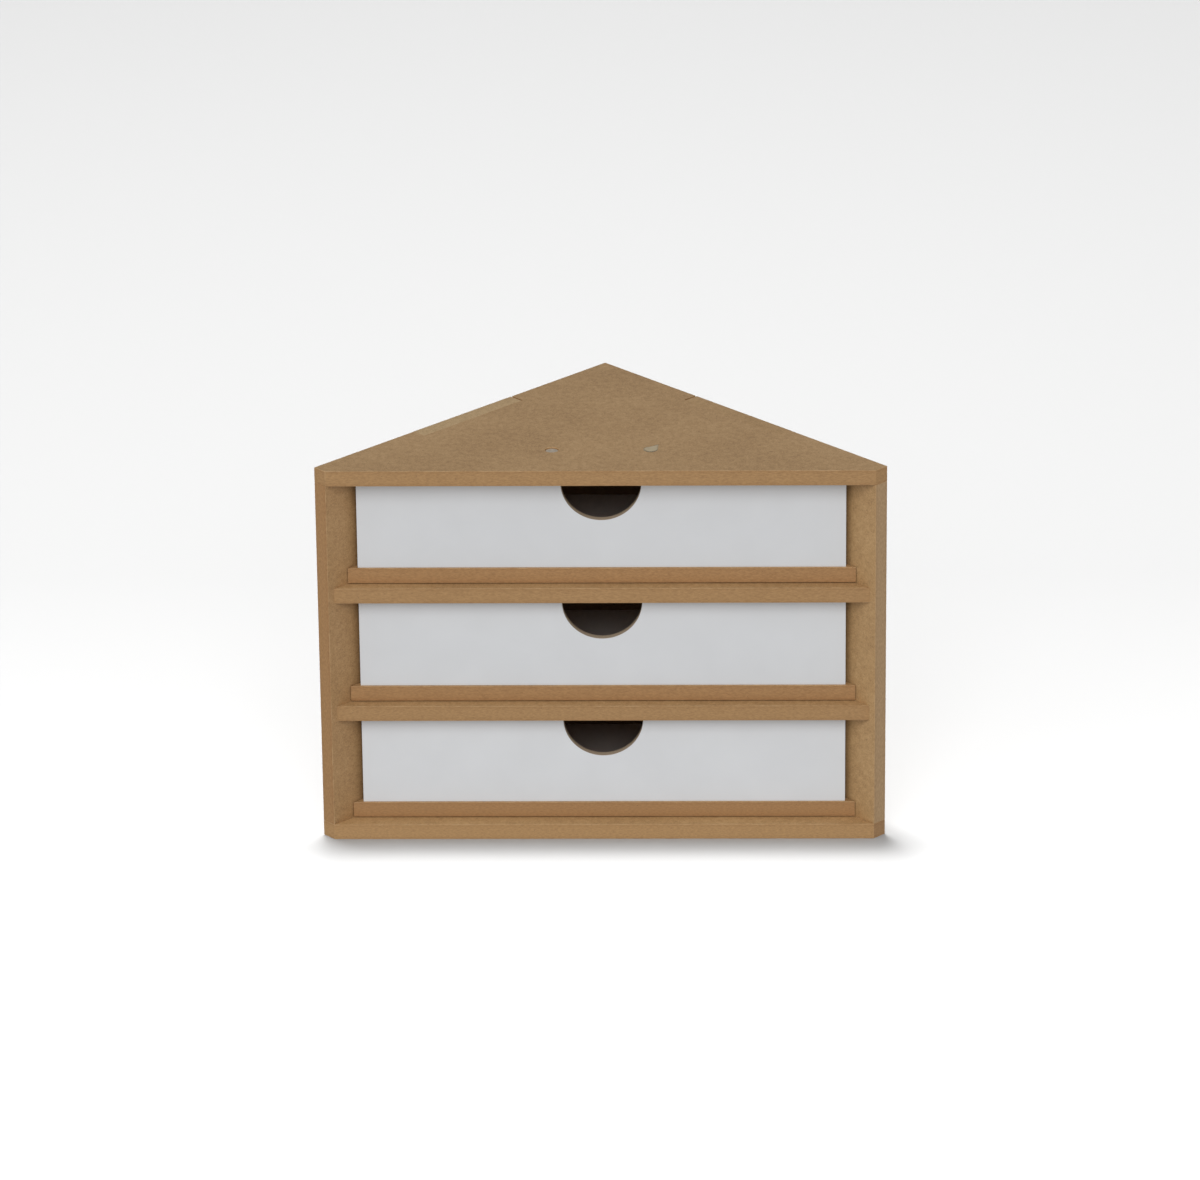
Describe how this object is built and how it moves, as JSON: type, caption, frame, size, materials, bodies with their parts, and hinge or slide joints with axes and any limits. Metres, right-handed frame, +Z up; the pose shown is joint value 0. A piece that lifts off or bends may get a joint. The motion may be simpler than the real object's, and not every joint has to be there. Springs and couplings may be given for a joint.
{
  "type": "corner drawer module",
  "caption": "Triangular corner cabinet for a hobby bench: fibreboard case with shelves and pull-out drawers, white fronts with half-round finger notches.",
  "frame": {"origin": "on the bench, at the middle of the module's width and depth", "axes": "+X to the right seen from the front, along the width; +Y to the back, towards the right-angled corner; +Z up. The drawers open towards -Y."},
  "size_m": [0.2122, 0.1104, 0.15],
  "materials": {
    "fibreboard": "raw medium-density fibreboard, matt, sanded faces and slightly darker sawn edges",
    "hardboard": "raw brown high-density fibreboard, matt",
    "white_laminate": "high-density fibreboard with a white satin laminate face, raw brown edges and back",
    "magnet_plating": "dull nickel plate"
  },
  "bodies": {
    "case": {"base_board": "fibreboard", "top_board": "fibreboard", "left_side_panel": "fibreboard", "right_side_panel": "fibreboard", "lower_shelf": "fibreboard", "upper_shelf": "fibreboard", "base_magnets": "magnet_plating", "top_magnets": "magnet_plating", "left_side_magnets": "magnet_plating", "right_side_magnets": "magnet_plating"},
    "lower_drawer": {"lower_drawer_floor": "fibreboard", "lower_drawer_front": "white_laminate", "lower_drawer_left_wall": "hardboard", "lower_drawer_right_wall": "hardboard", "lower_drawer_back_wall": "hardboard"},
    "middle_drawer": {"middle_drawer_floor": "fibreboard", "middle_drawer_front": "white_laminate", "middle_drawer_left_wall": "hardboard", "middle_drawer_right_wall": "hardboard", "middle_drawer_back_wall": "hardboard"},
    "upper_drawer": {"upper_drawer_floor": "fibreboard", "upper_drawer_front": "white_laminate", "upper_drawer_left_wall": "hardboard", "upper_drawer_right_wall": "hardboard", "upper_drawer_back_wall": "hardboard"}
  },
  "joints": [
    {"name": "lower_drawer_slide", "type": "slide", "parent": "case", "child": "lower_drawer", "axis": [0, -1, 0], "range_m": [0, 0.0825]},
    {"name": "middle_drawer_slide", "type": "slide", "parent": "case", "child": "middle_drawer", "axis": [0, -1, 0], "range_m": [0, 0.0825]},
    {"name": "upper_drawer_slide", "type": "slide", "parent": "case", "child": "upper_drawer", "axis": [0, -1, 0], "range_m": [0, 0.0825]}
  ]
}
